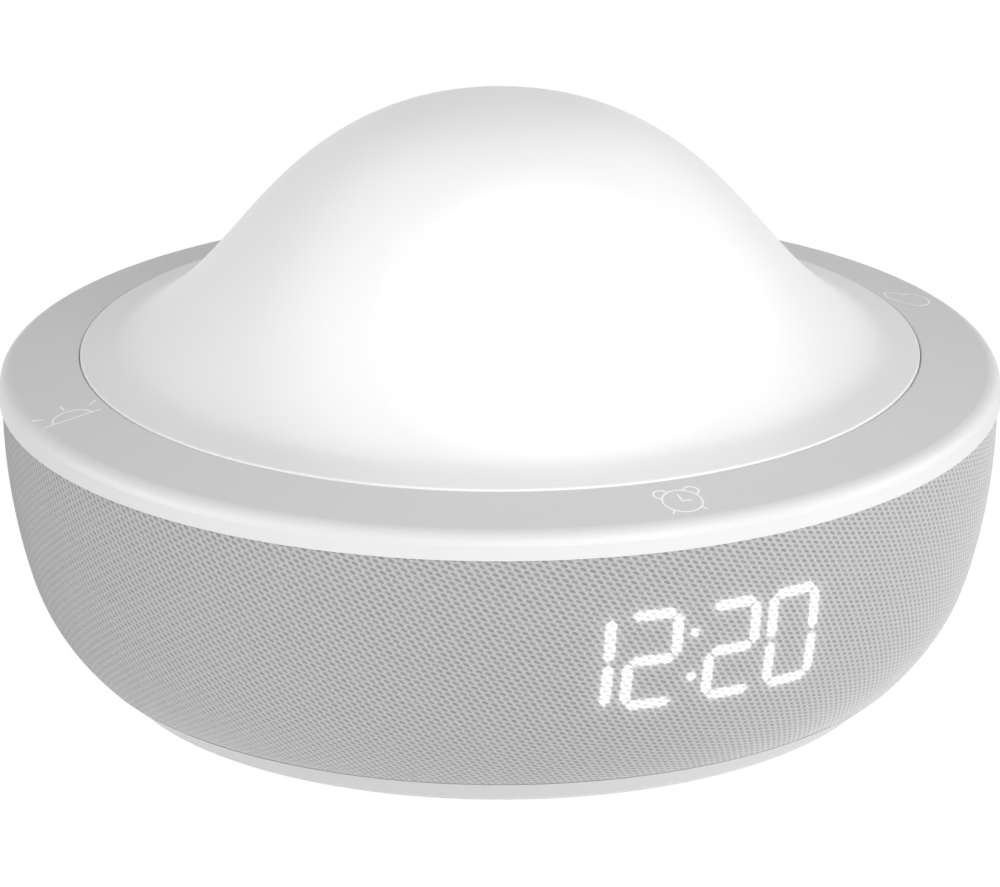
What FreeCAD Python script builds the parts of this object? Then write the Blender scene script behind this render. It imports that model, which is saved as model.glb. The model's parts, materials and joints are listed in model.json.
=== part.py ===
import FreeCAD, Part
import math
import os
from FreeCAD import Vector

# Sunrise alarm clock: a fabric bowl on a white base, a touch cover and a light dome.
# Millimetres, +Z up, origin on the table under the middle, the display looks along -Y.

# Driving sizes of the outside
foot_proud = 1.0
base_height = 5.5
base_taper_r = 5.8
sleeve_height = 47.9
cover_height = 4.65
bowl_r = 92.2
widest_drop = 1.0
upper_arc_r = 110.0
upper_arc_turn = 16.3
lower_arc_r = 37.5
cover_proud = 0.6
cover_draft = 0.3
cover_round = 2.8
cover_width = 14.3
cover_slope = 11.3
dome_proud = 0.2
dome_height = 46.9
dome_foot_slope = 15.0

# Shape of the dome from crown to flange, as shares of its radius and of its height
dome_shape = [(0.0, 1.0), (0.238, 0.957), (0.476, 0.738), (0.655, 0.421), (0.786, 0.183),
              (0.893, 0.049), (1.0, 0.0)]

# Walls and gaps
fabric_wall = 0.8
shell_wall = 2.2
pan_wall = 2.0
dome_wall = 2.0
cover_wall = 2.0
plate_wall = 2.0
thin_wall = 1.4
board_wall = 1.6
thin_board_wall = 1.0
seat_gap = 0.3
dome_gap = 0.2
cover_lap = 1.2
run_gap = 0.05
lip_wall = 1.5
lip_round = 0.25
edge_round = 0.4

# Helpers of the modelling: sunk joints between fused parts, and lengths of cutters
weld = 0.5
over = 1.0
cutter_length = 40.0
mark_wall = 30.0
front_spare = 5.0

# Base pan, feet and backup cell
foot_r = 6.0
foot_recess = 0.8
foot_inset = 32.2
base_screw_inset = 22.7
boss_r = 4.0
shell_boss_height = 12.0
web_reach = 20.0
web_wall = 2.4
cell_r = 10.0
cell_height = 3.2
cell_inset = 46.2
cell_azimuth = 135.0
door_r = 12.4
door_lug_reach = 1.4
door_lug_width = 5.0
door_twist = 45.0

# Sound outlet slots in the lower shell
slot_count = 40
slot_width = 3.2
slot_low = 3.5
slot_height = 9.0

# Screws
screw_r = 1.25
screw_length = 9.0
short_screw_length = 4.5
screw_head_r = 2.6
screw_head_height = 1.8
screw_sink = 2.2

# Press and return of the dome
dome_travel = 1.0
switch_height = 2.0
switch_side = 6.0
plunger_r = 1.7
plunger_seat = 0.8
press_inset = 2.1
leg_width = 7.0
leg_thick = 1.6
leg_inset = 0.2
hook_reach = 1.0
hook_height = 1.8
pad_top_r = 1.0
pad_foot_r = 2.4

# Speaker
plenum_height = 8.0
baffle_margin = 3.0
chamber_inset = 48.2
chamber_wall = 2.0
chamber_height = 27.0
speaker_flange_inset = 10.5
speaker_flange_wall = 1.2
speaker_flange_width = 11.5
speaker_lead_height = 16.0
surround_width = 3.6
surround_wall = 0.5
cone_wall = 0.6
cone_depth = 6.0
cap_rise = 2.0
coil_r = 6.5
coil_wall = 0.4
coil_length = 9.5
air_gap = 0.35
magnet_r = 16.0
magnet_bore_r = 9.5
magnet_height = 6.0
pole_plate = 2.5
basket_depth = 11.5
basket_wall = 1.0
spider_wall = 0.5
speaker_screw_inset = 3.1
deflector_gap = 26.0
deflector_height = 5.0

# Light
light_board_inset = 7.7
light_post_height = 1.5
tray_gap = 0.6
tray_wall = 0.8
tray_rise = 0.5
led_side = 3.5
led_height = 1.1

# Rings of lamps: how many, and the ring's radius as a share of the board's
led_rings = [(6, 0.256), (12, 0.527), (18, 0.798)]

# Marks on the touch cover
mark_line = 0.36
mark_depth = 0.4
mark_inset = 7.3
clock_mark_r = 3.6
sun_mark_r = 3.65
heart_width = 8.6
moon_mark_r = 4.2
touch_pad_r = 4.0
touch_board_inset = 6.3

# Display
digit_height = 17.9
digit_width = 8.8
stroke = 2.1
stroke_gap = 0.25
digit_shares = [-0.357, -0.136, 0.136, 0.357]
colon_dot_r = 0.95
colon_spread = 8.9
display_centre = 32.5
housing_width = 56.0
housing_height = 26.0
display_depth = 13.7
display_board_margin = 4.0
display_tab_height = 4.6
display_screw_x = 20.0
display_screw_r = 1.0
display_screw_length = 3.0

# Main board
main_board_x = 100.0
main_board_y = 70.0
main_post_r = 3.0
main_post_length = 7.0
board_hole_inset = 5.0
socket_width = 8.0
socket_depth = 5.5
socket_height = 4.4
cable_hole_r = 15.0

# Power inlet
inlet_height = 16.2
well_r = 7.4
well_wall = 1.4
well_depth = 22.2
well_proud = 0.5
inlet_bore_r = 3.0
inlet_depth = 9.5
inlet_pin_r = 1.0
jack_width = 9.0
jack_length = 14.0
lead_r = 0.8

# Radii and depths that follow the bowl
cover_r = bowl_r + cover_proud
ring_inner_r = bowl_r - cover_width
dome_r = ring_inner_r - dome_gap
press_circle_r = ring_inner_r - press_inset
light_board_r = ring_inner_r - light_board_inset
touch_board_inner_r = ring_inner_r - touch_board_inset
mark_circle_r = bowl_r - mark_inset
foot_circle_r = bowl_r - foot_inset
base_screw_circle_r = bowl_r - base_screw_inset
cell_place_r = bowl_r - cell_inset
deflector_r = cell_place_r - deflector_gap
chamber_r = bowl_r - chamber_inset
baffle_r = chamber_r + baffle_margin
speaker_flange_r = chamber_r - speaker_flange_inset
speaker_screw_circle_r = speaker_flange_r - speaker_screw_inset
cone_r = speaker_flange_r - speaker_flange_width
baffle_hole_r = cone_r + surround_width + 1.0
digit_places = [share * housing_width for share in digit_shares]
display_board_x = housing_width - display_board_margin
housing_back_y = display_depth - bowl_r
well_floor_y = bowl_r - well_depth
sleeve_inner = fabric_wall
shell_inner = fabric_wall + shell_wall

# Heights above the table, worked out from the sizes above
z_pan = foot_proud
z_sleeve = z_pan + base_height
z_band = z_sleeve + sleeve_height
z_widest = z_band - widest_drop
z_corner = z_band + cover_height
z_ring = z_corner + (cover_r - cover_draft - ring_inner_r) * math.tan(math.radians(cover_slope))
z_flange = z_ring + dome_proud
z_web = z_band + cover_lap
z_plate = z_web - thin_board_wall - plate_wall - 0.2
z_touch_board = z_plate + plate_wall
z_press = z_touch_board + thin_board_wall + switch_height + dome_travel
z_floor = z_pan + pan_wall
z_baffle = z_floor + plenum_height
z_speaker = z_baffle + plate_wall
z_main_board = z_plate - main_post_length - board_wall
z_display = z_pan + display_centre
z_inlet = z_pan + inlet_height
speaker_lead_z = z_speaker + speaker_lead_height


def rz(r, z):
    """A point of an outline in the XZ plane."""
    return Vector(r, 0, z)


def line(a, b):
    return Part.LineSegment(a, b).toShape()


def arc(a, through, b):
    return Part.Arc(a, through, b).toShape()


def turned(edges):
    """Solid of revolution about Z from the edges of a closed outline."""
    wire = Part.Wire(Part.__sortEdges__(edges))
    return Part.Face(wire).revolve(Vector(0, 0, 0), Vector(0, 0, 1), 360)


def turned_points(points):
    """Solid of revolution about Z from the corners (r, z) of an outline."""
    corners = [rz(r, z) for r, z in points]
    return turned([line(a, b) for a, b in zip(corners, corners[1:] + corners[:1])])


def disc(r, z, height, x=0.0, y=0.0):
    return Part.makeCylinder(r, height, Vector(x, y, z))


def tube(r_in, r_out, z, height, x=0.0, y=0.0):
    return disc(r_out, z, height, x, y).cut(disc(r_in, z - 1, height + 2, x, y))


def block(x, y, z, size_x, size_y, size_z):
    """Box with its middle at x, y and its underside at z."""
    return Part.makeBox(size_x, size_y, size_z, Vector(x - size_x / 2, y - size_y / 2, z))


def turn(shape, degrees):
    copy = shape.copy()
    copy.rotate(Vector(0, 0, 0), Vector(0, 0, 1), degrees)
    return copy


def ring_of(shape, count, first=0.0):
    """The shape, and its copies evenly round the Z axis."""
    return [turn(shape, first + 360.0 * i / count) for i in range(count)]


def joined(shapes):
    whole = shapes[0]
    for shape in shapes[1:]:
        whole = whole.fuse(shape)
    return whole.removeSplitter()


def cut_all(shape, cutters):
    return shape.cut(Part.makeCompound(cutters))


def polar(r, degrees):
    return r * math.cos(math.radians(degrees)), r * math.sin(math.radians(degrees))


def save(name, shape):
    """Write one node, after testing that all its solids are closed and sound."""
    solids = shape if isinstance(shape, list) else shape.Solids
    for solid in solids:
        if not solid.isValid() or solid.Volume <= 0:
            raise ValueError(name + " has an unsound solid")
    whole = solids[0] if len(solids) == 1 else Part.makeCompound(solids)
    whole.exportStep("parts/" + name + ".step")
    print(name, len(solids), round(sum(s.Volume for s in solids), 1))


# Bowl: two tangent arcs, and every layer is the same pair set in by its depth
arc_1 = Vector(bowl_r - upper_arc_r, 0, z_widest)
bend = math.radians(upper_arc_turn)
arc_2 = arc_1 + rz(math.cos(bend), -math.sin(bend)) * (upper_arc_r - lower_arc_r)


def bowl_radius(z, inset=0.0):
    """Radius of the bowl at height z, for the layer that lies inset under its outside."""
    r = upper_arc_r - inset
    if z >= arc_1.z - r * math.sin(bend):
        return arc_1.x + math.sqrt(r * r - (z - arc_1.z) ** 2)
    r = lower_arc_r - inset
    return arc_2.x + math.sqrt(r * r - (z - arc_2.z) ** 2)


def bowl_edges(inset, z_low, z_high):
    """The layer's outline between two heights, as an arc above and an arc below the bend."""
    z_bend = arc_1.z - (upper_arc_r - inset) * math.sin(bend)
    spans = [(z_low, min(z_bend, z_high)), (max(z_bend, z_low), z_high)]
    edges = []
    for low, high in spans:
        if high - low > 0.01:
            ends = [rz(bowl_radius(z, inset), z) for z in (low, (low + high) / 2, high)]
            edges.append(arc(*ends))
    return edges


def bowl_layer(inset, wall, z_low, z_high):
    """Shell of the bowl between two depths."""
    outer = [bowl_radius(z, inset) for z in (z_low, z_high)]
    inner = [bowl_radius(z, inset + wall) for z in (z_low, z_high)]
    edges = bowl_edges(inset, z_low, z_high) + bowl_edges(inset + wall, z_low, z_high)
    edges.append(line(rz(inner[0], z_low), rz(outer[0], z_low)))
    edges.append(line(rz(inner[1], z_high), rz(outer[1], z_high)))
    return turned(edges)


def bowl_filled(inset, z_low, z_high):
    """The whole space inside a layer's outside face."""
    low, high = rz(bowl_radius(z_low, inset), z_low), rz(bowl_radius(z_high, inset), z_high)
    edges = bowl_edges(inset, z_low, z_high)
    edges.append(line(rz(0, z_low), low))
    edges.append(line(rz(0, z_high), high))
    edges.append(line(rz(0, z_low), rz(0, z_high)))
    return turned(edges)


def screws(places, z_head, up=True, length=screw_length):
    """Pan-head screws; the shank points up or down from the seat of the head."""
    group = []
    for x, y in places:
        if up:
            head = disc(screw_head_r, z_head - screw_head_height, screw_head_height, x, y)
            shank = disc(screw_r, z_head, length, x, y)
        else:
            head = disc(screw_head_r, z_head, screw_head_height, x, y)
            shank = disc(screw_r, z_head - length, length, x, y)
        group.append(head.fuse(shank).removeSplitter())
    return group


def screw_holes(places, z_low, z_high):
    return [disc(screw_r, z_low, z_high - z_low, x, y) for x, y in places]


base_screw_places = [polar(base_screw_circle_r, 45 + 90 * i) for i in range(4)]
foot_places = [polar(foot_circle_r, 90 * i) for i in range(4)]
chassis_circle_r = bowl_radius(z_plate, shell_inner) - boss_r
chassis_places = [polar(chassis_circle_r, 22.5 + 90 * i) for i in range(4)]
light_places = [polar(light_board_r - 4.0, 22.5 + 90 * i) for i in range(4)]
baffle_places = [polar(chamber_r + screw_head_r + 0.9, 90 * i) for i in range(4)]
baffle_ears_r = screw_head_r + 1.0
speaker_places = [polar(speaker_screw_circle_r, 45 + 90 * i) for i in range(4)]
main_places = [(sx * (main_board_x / 2 - board_hole_inset), sy * (main_board_y / 2 - board_hole_inset))
               for sx in (-1, 1) for sy in (-1, 1)]
cell_x, cell_y = polar(cell_place_r, cell_azimuth)
collar_r = door_r + door_lug_reach + thin_wall + 1.5


def base_pan():
    """White dish: bevelled skirt, floor, bosses, and seats for the feet and the cell door."""
    top_r = bowl_radius(z_sleeve)
    low_r = top_r - base_taper_r
    rim_r = bowl_radius(z_sleeve, shell_inner)
    dish = turned([
        line(rz(0, z_pan), rz(low_r - 1.0, z_pan)),
        arc(rz(low_r - 1.0, z_pan), rz(low_r - 0.3, z_pan + 0.25), rz(low_r + 0.3, z_pan + 0.9)),
        line(rz(low_r + 0.3, z_pan + 0.9), rz(top_r, z_sleeve)),
        line(rz(top_r, z_sleeve), rz(rim_r, z_sleeve)),
        line(rz(rim_r, z_sleeve), rz(low_r - pan_wall, z_floor)),
        line(rz(low_r - pan_wall, z_floor), rz(0, z_floor)),
        line(rz(0, z_floor), rz(0, z_pan)),
    ])
    z_weld = z_floor - weld
    pillars = [disc(boss_r, z_weld, z_sleeve - z_weld, x, y) for x, y in base_screw_places]
    posts = [disc(boss_r, z_weld, plenum_height + weld, x, y) for x, y in baffle_places]
    lip = tube(collar_r - thin_wall, collar_r, z_weld, cell_height + 0.3, cell_x, cell_y)
    dish = joined([dish, lip] + pillars + posts)
    cuts = [disc(foot_r, z_pan, foot_recess, x, y) for x, y in foot_places]
    cuts += screw_holes(base_screw_places, z_pan, z_sleeve)
    cuts += [disc(screw_head_r + 0.2, z_pan, screw_sink, x, y) for x, y in base_screw_places]
    cuts += screw_holes(baffle_places, z_floor, z_baffle)
    cuts.append(disc(door_r + seat_gap, z_pan - 1, pan_wall + 2, cell_x, cell_y))
    cuts += door_lugs(door_lug_reach + seat_gap, z_pan - 1, pan_wall + 2, 0.8, door_twist)
    return cut_all(dish, cuts)


def door_lugs(reach, z, height, spare, angle=0.0):
    """Two lugs on opposite sides of the cell door, or the notches that let them in."""
    lugs = []
    for side in (0, 180):
        lug = block(door_r + reach / 2 - 1.0, 0, z, reach + 2.0, door_lug_width + spare, height)
        lug = turn(lug, side + angle)
        lug.translate(Vector(cell_x, cell_y, 0))
        lugs.append(lug)
    return lugs


def battery_door():
    """Coin-slot bayonet cover; its lugs lie on the pan's floor, a quarter turn lets it out."""
    cover = disc(door_r, z_pan + 0.2, pan_wall + 1.4, cell_x, cell_y)
    lugs = door_lugs(door_lug_reach, z_floor + 0.15, 1.2, 0.0)
    cover = joined([cover] + lugs)
    slot = block(cell_x, cell_y, z_pan, 14.0, 1.8, 1.4)
    hollow = disc(cell_r + 0.6, z_floor - 0.2, 4.0, cell_x, cell_y)
    return cut_all(cover, [slot, hollow])


def body_shell():
    """Perforated bowl that carries the fabric, the display, the inlet and the top frame."""
    shell = bowl_layer(sleeve_inner, shell_wall, z_sleeve, z_web)
    space = bowl_filled(sleeve_inner + shell_wall / 2, z_sleeve, z_web)
    bosses = []
    for x, y in base_screw_places:
        bosses.append(disc(boss_r, z_sleeve, shell_boss_height, x, y))
    web_x = base_screw_circle_r + web_reach / 2
    web = block(web_x, 0, z_sleeve, web_reach, web_wall, shell_boss_height - 2 * over)
    bosses += ring_of(web, 4, 45)
    ledge_height = screw_length + over
    for x, y in chassis_places:
        bosses.append(disc(boss_r, z_plate - ledge_height, ledge_height, x, y))
    ledge = block(chassis_circle_r + boss_r, 0, z_plate - ledge_height, 2 * boss_r, web_wall, ledge_height)
    bosses += ring_of(ledge, 4, 22.5)
    tab_depth = bowl_r + housing_back_y
    tab_y = housing_back_y - tab_depth / 2
    tab_z = z_display + housing_height / 2
    for side in (-1, 1):
        tab = block(side * display_screw_x, tab_y, tab_z, display_tab_height, tab_depth, display_tab_height)
        bosses.append(tab)
    shell = joined([shell] + [boss.common(space) for boss in bosses])
    slots = []
    for i in range(slot_count):
        degrees = 360.0 * (i + 0.5) / slot_count
        clear_of_inlet = abs((degrees - 90 + 180) % 360 - 180) > 12
        clear_of_boss = min(abs(degrees - 45 - 90 * k) for k in range(4)) > 3.5
        if clear_of_inlet and clear_of_boss:
            slot = block(bowl_r, 0, z_sleeve + slot_low, cutter_length, slot_width, slot_height)
            slots.append(turn(slot, degrees))
    cuts = slots + screw_holes(base_screw_places, z_sleeve, z_sleeve + shell_boss_height - over)
    cuts += screw_holes(chassis_places, z_plate - screw_length, z_plate)
    cuts.append(display_block(seat_gap, bowl_r))
    cuts.append(inlet_tube(well_r + well_wall, cutter_length))
    cuts += display_screw_holes()
    return cut_all(shell, cuts)


def fabric_sleeve():
    """Knitted sleeve drawn over the shell, tucked up behind the band."""
    sleeve = bowl_layer(0.0, fabric_wall, z_sleeve, z_web)
    return sleeve.cut(inlet_tube(well_r + well_wall, cutter_length))


def cover_z(r):
    """Height of the touch cover's sloping top at radius r."""
    return z_ring - (r - ring_inner_r) * math.tan(math.radians(cover_slope))


def cover_under(r):
    return cover_z(r) - cover_wall / math.cos(math.radians(cover_slope))


def top_edge(shape, r, z):
    """The round edge of a turned shape that passes through radius r and height z."""
    return [edge for edge in shape.Edges if edge.BoundBox.ZLength < 0.001
            and abs(edge.BoundBox.ZMax - z) < 0.001 and abs(edge.BoundBox.XMax - r) < 0.01]


def touch_cover():
    """Sloping top with a rounded rim that laps the fabric, and a lip round the dome."""
    corner_r = cover_r - cover_draft
    lap_r = bowl_r + run_gap
    skirt_r = corner_r - cover_wall
    lip_r = ring_inner_r + lip_wall
    cover = turned_points([
        (ring_inner_r, z_ring), (corner_r, z_corner), (cover_r, z_band), (lap_r, z_band), (lap_r, z_web),
        (skirt_r, z_web), (skirt_r, cover_under(skirt_r)), (lip_r, cover_under(lip_r)),
        (lip_r, z_press), (ring_inner_r, z_press),
    ])
    cover = cover.makeFillet(cover_round, top_edge(cover, corner_r, z_corner))
    return cover.makeFillet(lip_round, top_edge(cover, ring_inner_r, z_ring))


# Marks on the cover: line drawings that stand upright for someone who faces the display
def bar(ax, ay, bx, by, width=mark_line):
    """Upright wall along a line, with round ends."""
    length = math.hypot(bx - ax, by - ay)
    angle = math.degrees(math.atan2(by - ay, bx - ax))
    wall = Part.makeBox(length, width, mark_wall, Vector(0, -width / 2, z_web))
    wall = wall.fuse([disc(width / 2, z_web, mark_wall), disc(width / 2, z_web, mark_wall, length, 0)])
    wall.rotate(Vector(0, 0, 0), Vector(0, 0, 1), angle)
    wall.translate(Vector(ax, ay, 0))
    return wall


def bow(x, y, r, start, end):
    """Upright wall along an arc, from start to end in degrees."""
    foot, up = Vector(0, 0, z_web), Vector(0, 0, 1)
    outer = Part.makeCylinder(r + mark_line / 2, mark_wall, foot, up, end - start)
    inner = disc(r - mark_line / 2, z_web - over, mark_wall + 2 * over)
    wall = outer.cut(inner)
    wall.rotate(Vector(0, 0, 0), Vector(0, 0, 1), start)
    wall.translate(Vector(x, y, 0))
    ends = [polar(r, angle) for angle in (start, end)]
    if end - start < 360:
        wall = wall.fuse([disc(mark_line / 2, z_web, mark_wall, x + ex, y + ey) for ex, ey in ends])
    return wall


def clock_mark():
    """Alarm clock with two bells, two feet and hands at three o'clock."""
    x, y, r = 0.0, -mark_circle_r - 0.2, clock_mark_r
    walls = [bow(x, y, r, 0, 360), bar(x, y, x, y + 0.60 * r), bar(x, y, x + 0.47 * r, y)]
    for side in (-1, 1):
        bell_x, bell_y = side * r * 0.80, y + r * 0.80
        middle = 45 if side > 0 else 135
        walls.append(bow(x + bell_x, bell_y, r * 0.38, middle - 110, middle + 110))
        walls.append(bar(x + side * r * 0.71, y - r * 0.71, x + side * r * 0.90, y - r * 0.98))
    return walls


def sun_mark():
    """Half sun on its horizon, with three rays."""
    x, y, r = -mark_circle_r, -3.6, sun_mark_r
    walls = [bar(x - 1.49 * r, y, x + 1.49 * r, y), bow(x, y, r, 0, 180)]
    for angle, start, end in ((38, 1.58, 2.06), (90, 1.34, 1.85), (142, 1.58, 2.06)):
        near, far = polar(start * r, angle), polar(end * r, angle)
        walls.append(bar(x + near[0], y + near[1], x + far[0], y + far[1]))
    return walls


def heart_mark():
    """Heart from two round lobes and two wide arcs that meet at its point."""
    x, y = mark_circle_r - 1.0, 2.2
    lobe_r = heart_width / 3.74
    offset = heart_width / 2 - lobe_r
    flank_r = 2.6 * lobe_r
    flank_x = flank_r - heart_width / 2
    point = math.degrees(math.acos(flank_x / flank_r))
    notch = math.degrees(math.acos(offset / lobe_r))
    return [
        bow(x + offset, y, lobe_r, 0, 180 - notch), bow(x - offset, y, lobe_r, notch, 180),
        bow(x - flank_x, y, flank_r, -point, 0), bow(x + flank_x, y, flank_r, 180, 180 + point),
    ]


def moon_mark():
    """Crescent: a wide arc and a smaller one that bites into it."""
    x, y, r = 0.0, mark_circle_r, moon_mark_r
    bite_r = 0.78 * r
    shift = 0.55 * r
    reach = (r * r - bite_r * bite_r + shift * shift) / (2 * shift)
    wide = math.degrees(math.acos(reach / r))
    narrow = math.degrees(math.atan2(math.sqrt(r * r - reach * reach), reach - shift))
    return [bow(x, y, r, wide, 360 - wide), bow(x + shift, y, bite_r, narrow, 360 - narrow)]


def cover_marks(walls):
    """The marks as inlays, flush with the cover's sloping top."""
    skin = turned_points([
        (ring_inner_r, z_ring), (cover_r, cover_z(cover_r)),
        (cover_r, cover_z(cover_r) - mark_depth), (ring_inner_r, z_ring - mark_depth),
    ])
    return joined(walls).common(skin)


def chassis_plate():
    """Round plate across the bowl that carries the boards, the switches and the light."""
    plate = disc(bowl_radius(z_plate, shell_inner) - seat_gap, z_plate, plate_wall)
    z_post = z_plate - main_post_length
    posts = [disc(main_post_r, z_post, main_post_length + weld, x, y) for x, y in main_places]
    for x, y in light_places:
        posts.append(disc(main_post_r, z_touch_board - weld, light_post_height + weld, x, y))
    plate = joined([plate] + posts)
    cuts = screw_holes(chassis_places, z_plate - 1, z_plate + plate_wall + 1)
    cuts += screw_holes(main_places, z_plate - main_post_length - 1, z_plate + plate_wall / 2)
    cuts += screw_holes(light_places, z_plate - 1, z_touch_board + light_post_height + 1)
    cuts.append(disc(cable_hole_r, z_plate - 1, plate_wall + 2))
    cuts += ring_of(leg_slot(), 4, 45)
    return cut_all(plate, cuts)


def leg_slot():
    """Way for a dome leg through the plate and the touch board."""
    inner = dome_r - dome_wall - 0.4
    outer = dome_r - leg_inset + seat_gap
    height = plate_wall + 6 * over
    return block((inner + outer) / 2, 0, z_plate - over, outer - inner, leg_width + 0.8, height)


def touch_board():
    board = tube(touch_board_inner_r, bowl_radius(z_web, shell_inner) - 1.2, z_touch_board, thin_board_wall)
    heads = [disc(screw_head_r + seat_gap, z_touch_board - 1, 4, x, y) for x, y in chassis_places]
    return cut_all(board, heads + ring_of(leg_slot(), 4, 45))


def touch_pads():
    """Conductive foam pads that reach from the board to the cover's underside."""
    below = turned_points([
        (0, z_touch_board), (bowl_r, z_touch_board), (bowl_r, cover_under(bowl_r)),
        (ring_inner_r, cover_under(ring_inner_r)), (0, cover_under(ring_inner_r)),
    ])
    pad_x = ring_inner_r + lip_wall + touch_pad_r + 0.1
    pad = disc(touch_pad_r, z_touch_board + thin_board_wall, mark_wall, pad_x, 0)
    return [turn(pad, 90 * i).common(below) for i in range(4)]


def switch_bodies():
    z = z_touch_board + thin_board_wall
    case = block(press_circle_r, 0, z, switch_side, switch_side, switch_height)
    bore = disc(plunger_r + run_gap, z, switch_height + 1, press_circle_r, 0)
    return ring_of(case.cut(bore), 4)


def switch_plungers():
    height = dome_travel + plunger_seat
    plunger = disc(plunger_r, z_press - height, height, press_circle_r, 0)
    return ring_of(plunger, 4)


def return_pads():
    """Silicone buttons that push the dome back up."""
    z = z_touch_board + thin_board_wall
    button = Part.makeCone(pad_foot_r, pad_top_r, z_press - z, Vector(press_circle_r + 0.8, 0, z))
    return ring_of(button, 4, 67.5)


def dome_diffuser():
    """Opal bell-shaped cap with a skirt, four switch ribs and four snap legs."""
    points = [rz(r * dome_r, z_flange + h * dome_height) for r, h in dome_shape]
    slope = math.radians(dome_foot_slope)
    outer = Part.BSplineCurve()
    outer.interpolate(Points=points, InitialTangent=Vector(1, 0, 0) * dome_height,
                      FinalTangent=rz(math.cos(slope), -math.sin(slope)) * dome_height)
    inner_r = dome_r - dome_wall
    inner_points = []
    steps = 14
    for i in range(steps + 1):
        t = outer.FirstParameter + (outer.LastParameter - outer.FirstParameter) * i / steps
        at, along = outer.value(t), outer.tangent(t)[0]
        inside = at + rz(along.z, -along.x) * dome_wall / along.Length
        if inside.x < inner_r - 2.0:
            inner_points.append(inside)
    inner_points.append(rz(inner_r, z_flange + 0.35 - dome_wall))
    inner = Part.BSplineCurve()
    inner.interpolate(Points=inner_points, InitialTangent=Vector(1, 0, 0) * dome_height,
                      FinalTangent=rz(math.cos(slope), -math.sin(slope)) * dome_height)
    cap = turned([
        outer.toShape(), inner.toShape(),
        line(points[-1], rz(dome_r, z_press)), line(rz(dome_r, z_press), rz(inner_r, z_press)),
        line(rz(inner_r, z_press), inner_points[-1]), line(inner_points[0], points[0]),
    ])
    cap = cap.makeFillet(edge_round, top_edge(cap, dome_r, z_flange))
    rib = block(inner_r - 1.2, 0, z_press, 4.4, switch_side, 1.4)
    leg_r = dome_r - leg_inset
    z_hook = z_plate - seat_gap - hook_height
    leg_height = z_press - z_hook + 0.8
    leg = block(leg_r - leg_thick / 2, 0, z_hook, leg_thick, leg_width, leg_height)
    hook = block(leg_r + hook_reach / 2 - 0.2, 0, z_hook, hook_reach + 0.4, leg_width, hook_height)
    return joined([cap] + ring_of(rib, 4) + ring_of(leg.fuse(hook), 4, 45))


def light_parts():
    """Board, lamps and white tray under the dome."""
    z_board = z_touch_board + light_post_height
    z_top = z_board + board_wall
    z_tray = z_top + tray_gap
    board = disc(light_board_r, z_board, board_wall)
    board = cut_all(board, screw_holes(light_places, z_board - over, z_top + over))
    lamps, windows = [], []
    for count, share in led_rings:
        circle_r = share * light_board_r
        side = led_side + 2 * seat_gap
        lamps += ring_of(block(circle_r, 0, z_top, led_side, led_side, led_height), count)
        windows += ring_of(block(circle_r, 0, z_tray - over, side, side, tray_wall + 2 * over), count)
    flat_r, rim_r, z_rim = light_board_r - 2, light_board_r + 1, z_tray + tray_rise
    tray = turned_points([
        (0, z_tray), (flat_r, z_tray), (light_board_r, z_rim), (rim_r, z_rim), (rim_r, z_rim + tray_wall),
        (flat_r, z_tray + tray_wall), (0, z_tray + tray_wall),
    ])
    foot_places = [polar(light_board_r - 24, 22.5 + 90 * i) for i in range(4)]
    feet = [disc(1.5, z_top, tray_gap + 0.3, x, y) for x, y in foot_places]
    heads = [disc(screw_head_r + seat_gap, z_tray - 1, 4, x, y) for x, y in light_places]
    tray = cut_all(joined([tray] + feet), windows + heads)
    return board, lamps, tray, z_top


def display_block(spare, depth):
    """The display's outline, from the front back to its board."""
    front = -bowl_r - front_spare
    return Part.makeBox(
        housing_width + 2 * spare, housing_back_y - front, housing_height + 2 * spare,
        Vector(-housing_width / 2 - spare, front, z_display - housing_height / 2 - spare))


def display_space():
    """All that lies behind the fabric by the seat gap."""
    return bowl_filled(fabric_wall + 0.2, z_sleeve, z_web)


def segment(x, z, upright):
    """Six-sided light bar of a digit, as a prism along Y."""
    half = (digit_height / 4 if upright else digit_width / 2) - stroke_gap / 2
    w = stroke / 2
    corners = [(-half, 0), (-half + w, w), (half - w, w), (half, 0), (half - w, -w), (-half + w, -w)]
    if upright:
        corners = [(b, a) for a, b in corners]
    corners = [Vector(x + a, -bowl_r - front_spare, z + b) for a, b in corners]
    face = Part.Face(Part.makePolygon(corners + corners[:1]))
    return face.extrude(Vector(0, display_depth + front_spare, 0))


def digit(x, space):
    w, h = digit_width / 2, digit_height / 2
    bars = [segment(x, z_display + k * h, False) for k in (-1, 0, 1)]
    for side in (-1, 1):
        for k in (-0.5, 0.5):
            bars.append(segment(x + side * w, z_display + k * h, True))
    return [one.common(space) for one in bars]


def colon(space):
    dots = []
    for k in (-0.5, 0.5):
        z = z_display + k * colon_spread
        dots.append(along_y(colon_dot_r, 0, z, -bowl_r - front_spare, housing_back_y).common(space))
    return dots


display_screw_spots = [(side * display_screw_x, z_display + housing_height / 2 + display_tab_height / 2)
                       for side in (-1, 1)]


def along_y(r, x, z, y_low, y_high):
    return Part.makeCylinder(r, y_high - y_low, Vector(x, y_low, z), Vector(0, 1, 0))


def display_screw_holes():
    return [along_y(display_screw_r, x, z, housing_back_y - display_screw_length, housing_back_y + 5)
            for x, z in display_screw_spots]


def display_screws():
    y = housing_back_y + board_wall
    group = []
    for x, z in display_screw_spots:
        shank = along_y(display_screw_r, x, z, housing_back_y - display_screw_length, y)
        group.append(shank.fuse(along_y(1.9 * display_screw_r, x, z, y, y + 1.4)).removeSplitter())
    return group


def inlet_tube(r, length):
    """Round space along Y through the back of the bowl, at the inlet."""
    return along_y(r, 0, z_inlet, well_floor_y, well_floor_y + length)


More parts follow.
